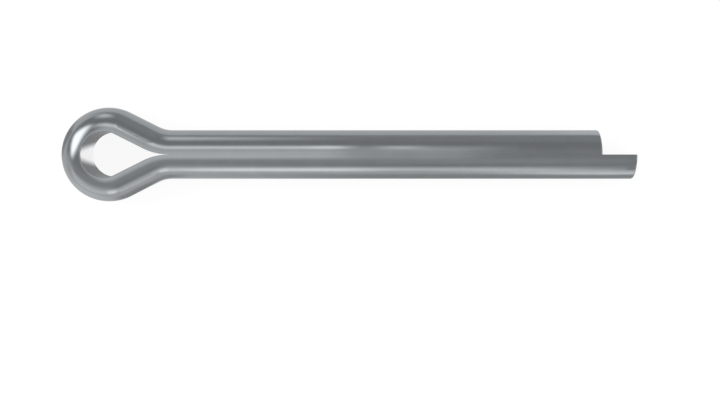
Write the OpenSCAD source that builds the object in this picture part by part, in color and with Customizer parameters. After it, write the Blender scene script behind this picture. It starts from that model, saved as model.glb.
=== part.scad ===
// Cotter pin folded from one length of half-round wire.
// It lies on its side: X runs along the shank, the eye lies in the XY plane and Z is up.
// The origin is on the shank's axis, where the two flats come together below the eye.

/* [Wire] */
// Diameter of the closed shank, which is also the width of the wire's flat
shank_d = 4.5; // [3:0.1:6]
// Gap between the flats of the two legs
seam = 0.05; // [0.04:0.01:0.3]

/* [Eye] */
// Inside diameter of the eye's round end
eye_inner_d = 4.18; // [3.4:0.02:6]
// Angle between each side of the eye and the shank's axis
neck_angle = 26.6; // [20:0.1:32]
// Inside radius of the bend where each side of the eye runs into its leg
neck_bend_r = 2.9; // [1:0.05:4]

/* [Legs] */
// Length of the short leg, from the start of the closed shank to its end
short_leg = 39.25; // [20:0.05:60]
// How far the long leg reaches past the short one
overhang = 3.15; // [1:0.05:8]
// Edge break around the round side of each sheared end
end_chamfer = 0.12; // [0.04:0.01:0.4]

/* [Hidden] */
$fn = 128;

shank_r = shank_d / 2;
long_leg = short_leg + overhang;

// The wire's centre line is the centre of its round side, half a seam behind the flat.
eye_r = eye_inner_d / 2 - seam / 2;
neck_r = neck_bend_r + shank_r;

// Straight side of the eye, between its two tangent points
neck_rise = neck_r * (1 - cos(neck_angle));
side_length = (eye_r * cos(neck_angle) - neck_rise) / sin(neck_angle);
side_start = [-neck_r * sin(neck_angle), neck_rise, 0];
eye_x = side_start[0] - side_length * cos(neck_angle) - eye_r * sin(neck_angle);
eye_sweep = 180 + 2 * neck_angle;

// Straight pieces reach this far into the bends, so that no gap is left between them.
lap = 0.00005;

// Half-round section of the wire: the flat faces -X and the round side faces +X.
module wire_section() {
    intersection() {
        circle(r = shank_r);
        translate([seam / 2, -shank_r])
            square([shank_r, shank_d]);
    }
}

// Round end of the eye, with the flat on the inside
module eye_bend() {
    translate([eye_x, 0, 0])
        rotate([0, 0, 180 - eye_sweep / 2])
            rotate_extrude(angle = eye_sweep)
                translate([eye_r, 0])
                    wire_section();
}

// Straight side of the eye, from the neck bend up to the round end
module eye_side() {
    translate(side_start)
        rotate([-90, 0, 90 - neck_angle])
            translate([0, 0, -lap])
                linear_extrude(height = side_length + 2 * lap)
                    wire_section();
}

// Bend between one side of the eye and its leg, with the round side on the inside
module neck_bend() {
    translate([0, neck_r, 0])
        rotate([0, 0, 270 - neck_angle])
            rotate_extrude(angle = neck_angle)
                translate([neck_r, 0])
                    mirror([1, 0])
                        wire_section();
}

// One leg, sheared square at its end
module leg(length) {
    intersection() {
        rotate([0, 90, 0])
            rotate_extrude()
                polygon([
                    [0, -lap],
                    [shank_r, -lap],
                    [shank_r, length - end_chamfer],
                    [shank_r - end_chamfer, length],
                    [0, length]
                ]);
        translate([-lap, seam / 2, -shank_r])
            cube([length + lap, shank_r, shank_d]);
    }
}

// Joins pieces that reach into each other by the lap. They are joined small and enlarged
// again, so that the lap is lost in rounding and the bends run smoothly into the straights.
module joined(shrink = 0.001) {
    scale(1 / shrink)
        for (i = [0 : $children - 1])
            scale(shrink)
                children(i);
}

// One side of the eye with its neck and leg
module side(leg_length) {
    joined() {
        eye_side();
        neck_bend();
        leg(leg_length);
    }
}

// The whole pin: the short leg lies on the +Y side and the long leg on the -Y side.
module cotter_pin() {
    color([0.58, 0.6, 0.61])
        joined() {
            eye_bend();
            side(short_leg);
            mirror([0, 1, 0])
                side(long_leg);
        }
}

cotter_pin();
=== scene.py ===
import math
from typing import NamedTuple

import bmesh
import bpy
from mathutils import Matrix, Vector


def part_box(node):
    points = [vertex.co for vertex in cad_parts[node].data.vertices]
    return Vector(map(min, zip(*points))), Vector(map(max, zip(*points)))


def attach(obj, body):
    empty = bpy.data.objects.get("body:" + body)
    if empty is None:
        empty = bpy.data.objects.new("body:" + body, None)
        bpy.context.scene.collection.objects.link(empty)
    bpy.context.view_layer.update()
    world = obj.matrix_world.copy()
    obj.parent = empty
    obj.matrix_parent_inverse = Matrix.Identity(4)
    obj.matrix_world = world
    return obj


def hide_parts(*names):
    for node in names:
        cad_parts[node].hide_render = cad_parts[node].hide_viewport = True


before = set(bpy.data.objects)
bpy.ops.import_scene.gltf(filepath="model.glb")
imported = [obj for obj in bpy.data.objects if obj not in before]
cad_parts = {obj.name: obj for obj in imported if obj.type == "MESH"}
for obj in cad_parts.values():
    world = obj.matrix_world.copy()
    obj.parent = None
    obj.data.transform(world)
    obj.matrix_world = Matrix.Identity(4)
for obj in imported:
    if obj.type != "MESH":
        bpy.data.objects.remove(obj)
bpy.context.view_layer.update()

MM = 0.001

# Sizes of the folded wire, in metres. The flats are crowned so that they meet along the middle of the legs
pin_low, pin_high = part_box("cotter_pin")
PIN_CENTRE = (pin_low + pin_high) / 2
SHANK_R = pin_high.z
LONG_LEG = pin_high.x
OVERHANG = 3.15 * MM
SHORT_LEG = LONG_LEG - OVERHANG
EYE_INNER_R = 2.09 * MM
NECK_ANGLE = math.radians(26.6)
NECK_BEND_R = 2.9 * MM
SEAM = 0.003 * MM
FLAT_CROWN = SEAM / 2
SEAM_CORNER_R = 0.003 * MM
RIM_R = 0.04 * MM
END_BREAK = 0.12 * MM
FLAT_BREAK_SHARE = 0.25
LEG_FACING = math.pi / 2

# Steps of the mesh, places across the flat, and extra edges that keep the shading of the corners tight
LEG_STEP = 1.0 * MM
NECK_STEPS = 16
SIDE_STEPS = 6
EYE_STEPS = 72
END_STEPS = 5
ROUND_STEPS = 72
CORNER_STEPS = 4
FLAT_SHARES = (-1.0, -0.985, -0.6, -0.2, 0.2, 0.6, 0.985, 1.0)
EDGE_SUPPORT = math.radians(1.0)
CAP_SUPPORT = 0.05 * MM

# Finishes of the wire, with sizes and depths in metres
WIRE_MAP = "wire"
ROUND_MATERIAL, FLAT_MATERIAL, END_MATERIAL = range(3)
ACROSS_THE_WIRE = 0.25
NOISE_LOW, NOISE_HIGH = 0.3, 0.7
MOTTLE_DETAIL = 3.0
FINE_DETAIL = 2.0
MOTTLE_SIZE = (1.6 * MM, 1.2 * MM, 1.2 * MM)
SHEAR_STREAK_SIZE = (1.0 * MM, 0.2 * MM, 3.0 * MM)
LINE_SIZE = (6.0 * MM, 0.07 * MM, 1)
GRAIN_SIZE = (0.09 * MM, 0.09 * MM, 0.09 * MM)
DRAWN_LINE_DEPTH = 0.00025 * MM
PLATE_GRAIN_DEPTH = 0.0003 * MM
SHEAR_LINE_DEPTH = 0.006 * MM
SHEAR_GRAIN_DEPTH = 0.003 * MM

# Painted highlight at the crown of the eye, a near-white patch of base colour and edge tint that stands in
# for a reflection: its levels, its reach along the wire, and how it widens downwards
CROWN_HIGHLIGHT = 0.95
CROWN_HIGHLIGHT_EDGE = 1.0
CROWN_HIGHLIGHT_FULL = 0.3 * MM
CROWN_HIGHLIGHT_END = 1.2 * MM
CROWN_HIGHLIGHT_SPREAD = 0.12

# Camera, which looks straight down on the pin
IMAGE_W = 720
PIXELS_PER_MM = 10.809
CAMERA_HEIGHT = 95.19 * MM
CAMERA_X = 17.305 * MM
CAMERA_CLIP = 1.0 * MM
SENSOR_W = 36.0
AXIS_ABOVE_MIDDLE_PX = 46.53

# Floor, and sheets one step above each other over it, which only the metal's reflections see: painted shade
# from the grey ones and painted light from the glowing ones
FLOOR_LEVEL = 0.14
FLOOR_LIFT = 0.9
FLOOR_SIDE = 2.4
CARD_STEP = 0.1 * MM
REFLECTED_SHADE = "ShaderNodeBsdfDiffuse"
REFLECTED_GLOW = "ShaderNodeEmission"
HARD = (0.002, 0.002)

# Each card: name, surface, level, centre and size in millimetres, turn in degrees,
# and the shares along and across the card over which its edges fade
CARDS = (
    ("back_card", REFLECTED_SHADE, 0.6, (91, 158), (218, 285), 0, HARD, HARD),
    ("front_card", REFLECTED_SHADE, 0.75, (24.5, -11.25), (55, 17.5), 0, (0.45, 0.1), (0.45, 0.05)),
    ("eye_card", REFLECTED_SHADE, 0.62, (-23.8, 7.2), (29.4, 7.5), -24, (0.25, 0.06), (0.3, 0.3)),
    ("limb_card", REFLECTED_SHADE, 0.75, (-2.5, -8.4), (8.2, 9.2), 0, (0.3, 0.4), (0.5, 0.05)),
    ("tip_front", REFLECTED_GLOW, 1.65, (64, -49), (72, 83), 0, (0.2, 0.2), (0.2, 0.07)),
    ("tip_back", REFLECTED_GLOW, 1.3, (55, 7), (50, 8), 0, (0.28, 0.2), (0.3, 0.3)),
    ("eye_glow", REFLECTED_GLOW, 1.32, (-15, -12), (17, 22), 143, (0.35, 0.35), (0.3, 0.25)),
)

# Light from all round, and soft boxes
WORLD_LEVEL = 0.46
LIGHT_DISTANCE = 0.45
SOFT = (0.35, 0.35)

# Each box: name, degrees across the pin, from straight above towards +Y, and along it, towards +X, level,
# and the shares of the range across and of the range along over which its two ends fade
LIGHTS = (
    ("key_box", (2, 49), (-64, -34), 3.0, (0.25, 0.35), (0.3, 0.35)),
    ("left_low", (-88, -10), (-88, -64), 0.45, SOFT, SOFT),
    ("top_left", (26, 40), (-24, -0.8), 1.25, SOFT, (0.65, 0.04)),
    ("top_tip", (26, 42), (-2.9, -0.8), 0.55, SOFT, SOFT),
    ("top_right", (26, 40), (1.5, 3.9), 0.75, SOFT, SOFT),
    ("top_fade", (20, 40), (1.7, 9), 0.3, SOFT, SOFT),
    ("over_wide", (-18, 24), (-20, -1), 0.6, SOFT, (0.4, 0.08)),
    ("over_left", (-20, 7), (-22, -2), 0.2, SOFT, SOFT),
    ("over_mid", (-18, 24), (-1, 8), 0.35, SOFT, SOFT),
    ("near_long", (-90, -62), (-64, 12), 0.9, (0.2, 0.6), (0.2, 0.2)),
    ("near_mid", (-87, -68), (-12, 0.8), 0.7, SOFT, SOFT),
    ("near_right", (-90, -80), (9, 36), 0.75, (0.2, 0.35), SOFT),
    ("low_right", (-72, -50), (10, 36), 0.12, SOFT, SOFT),
    ("near_up", (-64, -45), (-66, -10), 0.25, SOFT, SOFT),
    ("far_left", (71, 90), (-26, -7), 1.0, (0.5, 0.3), (0.5, 0.5)),
    ("far_right", (62, 90), (4, 40), 0.1, SOFT, SOFT),
    ("mid_fill", (-50, -16), (-60, 10), 0.15, SOFT, SOFT),
    ("over_right", (-40, 24), (6, 34), 0.08, SOFT, SOFT),
    ("right_box", (-30, 40), (42, 66), 1.2, SOFT, SOFT),
    ("right_near", (-82, -58), (32, 64), 0.9, SOFT, SOFT),
    ("right_far", (60, 84), (34, 64), 0.7, SOFT, SOFT),
)


def add_object(name, data):
    """A new object in the scene."""
    made = bpy.data.objects.new(name, data)
    bpy.context.scene.collection.objects.link(made)
    return made


# The folded wire
def spread(first, last, steps):
    """Evenly spaced values from first to last, both included."""
    return [first + (last - first) * i / steps for i in range(steps + 1)]


def arc(centre, radius, angles):
    """Points on a circle at the given angles."""
    return [(centre[0] + radius * math.cos(a), centre[1] + radius * math.sin(a)) for a in angles]


def running_length(points):
    """Distance along a list of points, from the first to each of them."""
    lengths = [0.0]
    for a, b in zip(points, points[1:]):
        lengths.append(lengths[-1] + math.dist(a, b))
    return lengths


def wire_section(inset, corner_r):
    """Points (w, z) round the half-round section, with the flat near w = 0 and the round side facing +w."""
    round_r = SHANK_R - inset
    flat_w = SEAM / 2 + inset * FLAT_BREAK_SHARE
    corner_w = flat_w + corner_r
    corner_z = math.sqrt((round_r - corner_r) ** 2 - corner_w ** 2)
    tip = math.atan2(corner_z, corner_w)
    support = tip - EDGE_SUPPORT
    flat = [(flat_w - FLAT_CROWN * (1 - share * share), corner_z * share) for share in FLAT_SHARES]
    top = arc((corner_w, corner_z), corner_r, spread(math.pi, tip, CORNER_STEPS)[1:-1])
    outside = arc((0, 0), round_r, [tip] + spread(support, -support, ROUND_STEPS) + [-tip])
    bottom = arc((corner_w, -corner_z), corner_r, spread(-tip, -math.pi, CORNER_STEPS)[1:-1])
    return flat + top + outside + bottom


class Station(NamedTuple):
    """One cross-section of the wire: its place, the way its round side faces, its inset and its corners."""
    x: float
    y: float
    facing: float
    inset: float = 0.0
    corner_r: float = SEAM_CORNER_R


def leg_stations(length):
    """Stations of the upper leg, of the given length, from its sheared end to the neck."""
    body_end = length - END_BREAK
    cap = [Station(length, 0, LEG_FACING, END_BREAK + CAP_SUPPORT)]
    edge = []
    for turn in spread(math.pi / 2, 0, END_STEPS):
        x = body_end + END_BREAK * math.sin(turn)
        edge.append(Station(x, 0, LEG_FACING, END_BREAK * (1 - math.cos(turn))))
    body = [Station(x, 0, LEG_FACING) for x in spread(body_end, 0, round(body_end / LEG_STEP))]
    return cap + edge + body[1:]


def neck_corner(turn):
    """Corner radius along the neck bend, which opens smoothly from the tight seam to the rim of the eye."""
    share = turn / NECK_ANGLE
    return SEAM_CORNER_R + (RIM_R - SEAM_CORNER_R) * share * share * (3 - 2 * share)


def eye_stations():
    """Stations from the neck round to the crown of the eye, for the upper half of the fold."""
    eye_r = EYE_INNER_R - SEAM / 2
    neck_r = NECK_BEND_R + SHANK_R
    sin_a, cos_a = math.sin(NECK_ANGLE), math.cos(NECK_ANGLE)
    side = (eye_r * cos_a - neck_r * (1 - cos_a)) / sin_a
    eye_x = -neck_r * sin_a - side * cos_a - eye_r * sin_a
    neck = []
    for turn in spread(0, NECK_ANGLE, NECK_STEPS):
        x, y = -neck_r * math.sin(turn), neck_r * (1 - math.cos(turn))
        neck.append(Station(x, y, LEG_FACING - turn, 0, neck_corner(turn)))
    start = neck[-1]
    straight = []
    for d in spread(0, side, SIDE_STEPS):
        straight.append(Station(start.x - d * cos_a, start.y + d * sin_a, start.facing, 0, RIM_R))
    crown = []
    for facing in spread(start.facing, math.pi, EYE_STEPS):
        x, y = eye_x + eye_r * math.cos(facing), eye_r * math.sin(facing)
        crown.append(Station(x, y, facing, 0, RIM_R))
    return neck[1:] + straight[1:] + crown[1:]


def fold_stations():
    """Stations along the whole wire, from the short leg's end round the eye to the long leg's end."""
    upper = leg_stations(SHORT_LEG) + eye_stations()
    lower = leg_stations(LONG_LEG) + eye_stations()[:-1]
    return upper + [place._replace(y=-place.y, facing=-place.facing) for place in reversed(lower)]


def length_from_crown(stations):
    """Distance along the wire from the eye's crown, its lowest x, to each station."""
    lengths = running_length([(place.x, place.y) for place in stations])
    crown = lengths[stations.index(min(stations))]
    return [length - crown for length in lengths]


def add_rings(bm, stations):
    """One ring of vertices round the wire at each station."""
    rings = []
    for place in stations:
        out_x, out_y = math.cos(place.facing), math.sin(place.facing)
        section = wire_section(place.inset, place.corner_r)
        rings.append([bm.verts.new((place.x + out_x * w, place.y + out_y * w, z)) for w, z in section])
    return rings


def add_sides(bm, wire_map, rings, along, around):
    """Faces between the rings, mapped by the distance along the wire and round it."""
    count = len(rings[0])
    flat_count = len(FLAT_SHARES) - 1
    for i, (ring, after) in enumerate(zip(rings, rings[1:])):
        for j in range(count):
            k = (j + 1) % count
            face = bm.faces.new((ring[j], ring[k], after[k], after[j]))
            face.material_index = FLAT_MATERIAL if j < flat_count else ROUND_MATERIAL
            corners = ((i, j), (i, j + 1), (i + 1, j + 1), (i + 1, j))
            for loop, (u, v) in zip(face.loops, corners):
                loop[wire_map].uv = (along[u], around[v])


def add_ends(bm, wire_map, rings):
    """The sheared face on each end of the wire."""
    for ring in (rings[0], rings[-1]):
        face = bm.faces.new(ring)
        face.material_index = END_MATERIAL
        for loop in face.loops:
            loop[wire_map].uv = (loop.vert.co.z, loop.vert.co.y)


def make_pin():
    """The folded wire as one closed mesh, with its three finishes."""
    stations = fold_stations()
    section = wire_section(0, SEAM_CORNER_R)
    bm = bmesh.new()
    wire_map = bm.loops.layers.uv.new(WIRE_MAP)
    rings = add_rings(bm, stations)
    add_sides(bm, wire_map, rings, length_from_crown(stations), running_length(section + section[:1]))
    add_ends(bm, wire_map, rings)
    bmesh.ops.recalc_face_normals(bm, faces=bm.faces)
    mesh = bpy.data.meshes.new("pin_wire")
    bm.to_mesh(mesh)
    bm.free()
    mesh.shade_smooth()
    for finish in (round_finish, flat_finish, end_finish):
        mesh.materials.append(finish())
    return add_object("pin_wire", mesh)


# Parts of the materials
def grey(level):
    """A neutral colour."""
    return level, level, level, 1


def feed(tree, node, inputs):
    """Links each input of a node to an output, or sets it to a plain value."""
    for name, value in inputs.items():
        if isinstance(value, bpy.types.NodeSocket):
            tree.links.new(value, node.inputs[name])
        else:
            node.inputs[name].default_value = value


def add_node(tree, kind, inputs, **settings):
    """A new node with its settings and inputs."""
    node = tree.nodes.new(kind)
    for name, value in settings.items():
        setattr(node, name, value)
    feed(tree, node, inputs)
    return node


def calculate(tree, operation, *values):
    """Result of one operation on the given values."""
    return add_node(tree, "ShaderNodeMath", dict(enumerate(values)), operation=operation).outputs["Value"]


def coordinate(tree, vector, axis):
    """One coordinate of a vector."""
    return add_node(tree, "ShaderNodeSeparateXYZ", {"Vector": vector}).outputs[axis]


def noise(tree, vector, size, detail):
    """Noise whose blotches are about as large as size, in metres, along each axis."""
    mapping = add_node(tree, "ShaderNodeMapping", {"Vector": vector, "Scale": [1 / s for s in size]})
    inputs = {"Vector": mapping.outputs["Vector"], "Scale": 1.0, "Detail": detail}
    return add_node(tree, "ShaderNodeTexNoise", inputs).outputs["Fac"]


def between(tree, blotches, low, high):
    """Turns noise into a value between low and high."""
    remap = add_node(tree, "ShaderNodeMapRange", {
        "Value": blotches,
        "From Min": NOISE_LOW,
        "From Max": NOISE_HIGH,
        "To Min": low,
        "To Max": high,
    })
    return remap.outputs["Result"]


def ramp(tree, place, start, end):
    """Rises smoothly from 0 at start to 1 at end."""
    inputs = {"Value": place, "From Min": start, "From Max": end}
    return add_node(tree, "ShaderNodeMapRange", inputs, interpolation_type="SMOOTHSTEP").outputs["Result"]


def edge_fade(tree, face, along, across):
    """1 over the middle of a rectangle, fading to 0 at each edge over the given shares of its face."""
    fade = 1.0
    for axis, (first, last) in (("X", along), ("Y", across)):
        place = coordinate(tree, face, axis)
        fade = calculate(tree, "MULTIPLY", fade, ramp(tree, place, 0, first))
        fade = calculate(tree, "MULTIPLY", fade, ramp(tree, place, 1, 1 - last))
    return fade


def mix_colour(tree, share, low, high):
    """Mixes from the colour low to the colour high."""
    inputs = {"Factor": share, "A": low, "B": high}
    return add_node(tree, "ShaderNodeMix", inputs, data_type="RGBA").outputs["Result"]


def bump(tree, height, depth, under=None):
    """Raises the surface by up to depth, in metres, where height is 1, over another bump if there is one."""
    inputs = {"Strength": 1.0, "Distance": depth, "Height": height}
    if under is not None:
        inputs["Normal"] = under
    return add_node(tree, "ShaderNodeBump", inputs).outputs["Normal"]


# Finishes of the wire
def zinc_plate(name, dark, light, roughness, anisotropy, edge_tint, line_depth, grain_depth, mottle_size):
    """Zinc plate over drawn wire: faint lines along the wire, mottled plating and a fine grain."""
    material = bpy.data.materials.new(name)
    material.use_nodes = True
    tree = material.node_tree
    coords = add_node(tree, "ShaderNodeTexCoord", {})
    mottle = noise(tree, coords.outputs["Object"], mottle_size, MOTTLE_DETAIL)
    lines = noise(tree, coords.outputs["UV"], LINE_SIZE, FINE_DETAIL)
    grain = noise(tree, coords.outputs["Object"], GRAIN_SIZE, FINE_DETAIL)
    drawn = bump(tree, lines, line_depth)
    tangent = add_node(tree, "ShaderNodeTangent", {}, direction_type="UV_MAP", uv_map=WIRE_MAP)
    feed(tree, tree.nodes["Principled BSDF"], {
        "Base Color": mix_colour(tree, between(tree, mottle, 0.0, 1.0), (*dark, 1), (*light, 1)),
        "Metallic": 1.0,
        "Roughness": between(tree, mottle, *roughness),
        "Specular Tint": grey(edge_tint),
        "Anisotropic": anisotropy,
        "Anisotropic Rotation": ACROSS_THE_WIRE,
        "Normal": bump(tree, grain, grain_depth, drawn),
        "Tangent": tangent.outputs["Tangent"],
    })
    return material


def round_finish():
    """Satin plate on the round side, blurred across the wire by its drawn lines."""
    return zinc_plate(
        "zinc_round", dark=(0.286, 0.302, 0.314), light=(0.302, 0.318, 0.331), roughness=(0.13, 0.15),
        anisotropy=0.85, edge_tint=0.85, line_depth=DRAWN_LINE_DEPTH, grain_depth=PLATE_GRAIN_DEPTH,
        mottle_size=MOTTLE_SIZE)


def crown_highlight_fade(tree):
    """0 at the crown of the eye and 1 away from it along the wire, with a patch that widens downwards: the
    mask of the painted highlight.
    """
    coords = add_node(tree, "ShaderNodeTexCoord", {})
    distance = calculate(tree, "ABSOLUTE", coordinate(tree, coords.outputs["UV"], "X"))
    height = coordinate(tree, coords.outputs["Object"], "Z")
    place = calculate(tree, "MULTIPLY_ADD", height, CROWN_HIGHLIGHT_SPREAD, distance)
    return ramp(tree, place, CROWN_HIGHLIGHT_FULL, CROWN_HIGHLIGHT_END)


def flat_finish():
    """Dull plate on the rolled flat, with a painted highlight at the crown of the eye: near-white base
    colour and edge tint that stand in for a bright reflection.
    """
    material = zinc_plate(
        "zinc_flat", dark=(0.30, 0.315, 0.327), light=(0.33, 0.345, 0.357), roughness=(0.2, 0.28),
        anisotropy=0.5, edge_tint=0.44, line_depth=DRAWN_LINE_DEPTH, grain_depth=PLATE_GRAIN_DEPTH,
        mottle_size=MOTTLE_SIZE)
    tree = material.node_tree
    shader = tree.nodes["Principled BSDF"]
    dull = shader.inputs["Base Color"].links[0].from_socket
    dull_edge = shader.inputs["Specular Tint"].default_value
    fade = crown_highlight_fade(tree)
    # Painted highlight: near-white base colour and edge tint over the crown of the eye stand in for a bright
    # reflection there.
    feed(tree, shader, {
        "Base Color": mix_colour(tree, fade, grey(CROWN_HIGHLIGHT), dull),
        "Specular Tint": mix_colour(tree, fade, grey(CROWN_HIGHLIGHT_EDGE), dull_edge),
    })
    return material


def end_finish():
    """Duller plate over the marks left on the sheared ends."""
    return zinc_plate(
        "zinc_end", dark=(0.24, 0.253, 0.263), light=(0.39, 0.403, 0.413), roughness=(0.26, 0.42),
        anisotropy=0.0, edge_tint=0.7, line_depth=SHEAR_LINE_DEPTH, grain_depth=SHEAR_GRAIN_DEPTH,
        mottle_size=SHEAR_STREAK_SIZE)


# The stage
def bare_material(name):
    """A new material with an empty node tree."""
    material = bpy.data.materials.new(name)
    material.use_nodes = True
    material.node_tree.nodes.clear()
    return material


def floor_material():
    """Matt pale floor. Seen directly or in a reflection it is lifted to white, and it keeps the shadow."""
    material = bare_material("floor_white")
    tree = material.node_tree
    path = add_node(tree, "ShaderNodeLightPath", {})
    seen = path.outputs["Is Camera Ray"]
    for ray in ("Is Glossy Ray", "Is Transmission Ray"):
        seen = calculate(tree, "MAXIMUM", seen, path.outputs[ray])
    matt = add_node(tree, "ShaderNodeBsdfDiffuse", {"Color": grey(FLOOR_LEVEL)})
    lift = add_node(tree, "ShaderNodeEmission", {"Strength": calculate(tree, "MULTIPLY", seen, FLOOR_LIFT)})
    both = add_node(tree, "ShaderNodeAddShader", {0: matt.outputs["BSDF"], 1: lift.outputs["Emission"]})
    add_node(tree, "ShaderNodeOutputMaterial", {"Surface": both.outputs["Shader"]})
    return material


def card_material(name, surface, level, along, across):
    """One surface that fades out at the edges of its card, over the given shares of it."""
    material = bare_material(name)
    tree = material.node_tree
    coords = add_node(tree, "ShaderNodeTexCoord", {})
    fade = edge_fade(tree, coords.outputs["Generated"], along, across)
    clear = add_node(tree, "ShaderNodeBsdfTransparent", {})
    face = add_node(tree, surface, {"Color": grey(level)})
    mix = add_node(tree, "ShaderNodeMixShader", {"Fac": fade, 1: clear.outputs["BSDF"], 2: face.outputs[0]})
    add_node(tree, "ShaderNodeOutputMaterial", {"Surface": mix.outputs["Shader"]})
    return material


def stage_sheet(name, centre, size, height, material):
    """A level rectangle at the given centre and height."""
    half_x, half_y = size[0] / 2, size[1] / 2
    corners = ((-half_x, -half_y, 0), (half_x, -half_y, 0), (half_x, half_y, 0), (-half_x, half_y, 0))
    mesh = bpy.data.meshes.new(name)
    mesh.from_pydata(corners, [], [(0, 1, 2, 3)])
    mesh.materials.append(material)
    sheet = add_object(name, mesh)
    sheet.location = (centre[0], centre[1], height)
    return sheet


def make_floor(height):
    """A wide flat floor that the pin lies on."""
    stage_sheet("floor", (0, 0), (FLOOR_SIDE, FLOOR_SIDE), height, floor_material())


def make_card(height, name, surface, level, centre, size, turn, along, across):
    """A sheet just above the floor that only the metal's reflections see. The grey ones paint bands of shade
    and the glowing ones paint bands of light into the reflections.
    """
    material = card_material(name, surface, level, along, across)
    card = stage_sheet(name, [c * MM for c in centre], [s * MM for s in size], height, material)
    card.rotation_euler.z = math.radians(turn)
    card.visible_camera = False
    card.visible_diffuse = False
    card.visible_shadow = False


def make_world():
    """Even grey light from all round."""
    world = bpy.data.worlds.new("studio")
    world.use_nodes = True
    feed(world.node_tree, world.node_tree.nodes["Background"], {"Color": grey(WORLD_LEVEL)})
    bpy.context.scene.world = world


def soften(light, along, across):
    """Makes a light fade at its edges, as the cloth of a softbox does."""
    light.use_nodes = True
    tree = light.node_tree
    face = add_node(tree, "ShaderNodeNewGeometry", {})
    fade = edge_fade(tree, face.outputs["Parametric"], along, across)
    feed(tree, tree.nodes["Emission"], {"Strength": fade})


def whole_range(half_level, soft):
    """Ends of a light, in radians, worked out from the degrees where it is down to half its level."""
    low, high = (math.radians(angle) for angle in half_level)
    width = (high - low) / (1 - (soft[0] + soft[1]) / 2)
    return low - width * soft[0] / 2, high + width * soft[1] / 2


def make_light(name, across, along, level, soft_across, soft_along):
    """Area light aimed at the pin, which covers a range of angles across the pin and one along it."""
    across_low, across_high = whole_range(across, soft_across)
    along_low, along_high = whole_range(along, soft_along)
    a, b = (across_low + across_high) / 2, (along_low + along_high) / 2
    away = Vector((math.sin(b), math.cos(b) * math.sin(a), math.cos(b) * math.cos(a)))
    side = (Vector((1, 0, 0)) - away * away.x).normalized()
    turn = Matrix((side, away.cross(side), away)).transposed().to_4x4()
    light = bpy.data.lights.new(name, "AREA")
    light.shape = "RECTANGLE"
    light.size = 2 * LIGHT_DISTANCE * math.tan((along_high - along_low) / 2)
    light.size_y = 2 * LIGHT_DISTANCE * math.tan((across_high - across_low) / 2 * math.cos(b))
    light.energy = level * math.pi * light.size * light.size_y
    soften(light, soft_along, soft_across)
    box = add_object(name, light)
    box.matrix_world = Matrix.Translation(PIN_CENTRE + away * LIGHT_DISTANCE) @ turn
    box.visible_camera = False


def make_camera():
    """Camera straight above, with its frame shifted so that the pin lies above the middle."""
    data = bpy.data.cameras.new("camera")
    data.sensor_width = SENSOR_W
    data.lens = PIXELS_PER_MM * CAMERA_HEIGHT / MM * SENSOR_W / IMAGE_W
    data.shift_y = -AXIS_ABOVE_MIDDLE_PX / IMAGE_W
    data.clip_start = CAMERA_CLIP
    camera = add_object("camera", data)
    camera.location = (CAMERA_X, 0, CAMERA_HEIGHT)
    bpy.context.scene.camera = camera


pin = make_pin()
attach(pin, "root")
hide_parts("cotter_pin")
make_floor(pin_low.z)
# Sheets that paint shade and light into the metal's reflections, one step above each other.
for i, card in enumerate(CARDS, 1):
    make_card(pin_low.z + i * CARD_STEP, *card)
make_camera()
make_world()
for light in LIGHTS:
    make_light(*light)

bpy.context.scene.view_settings.view_transform = "Standard"
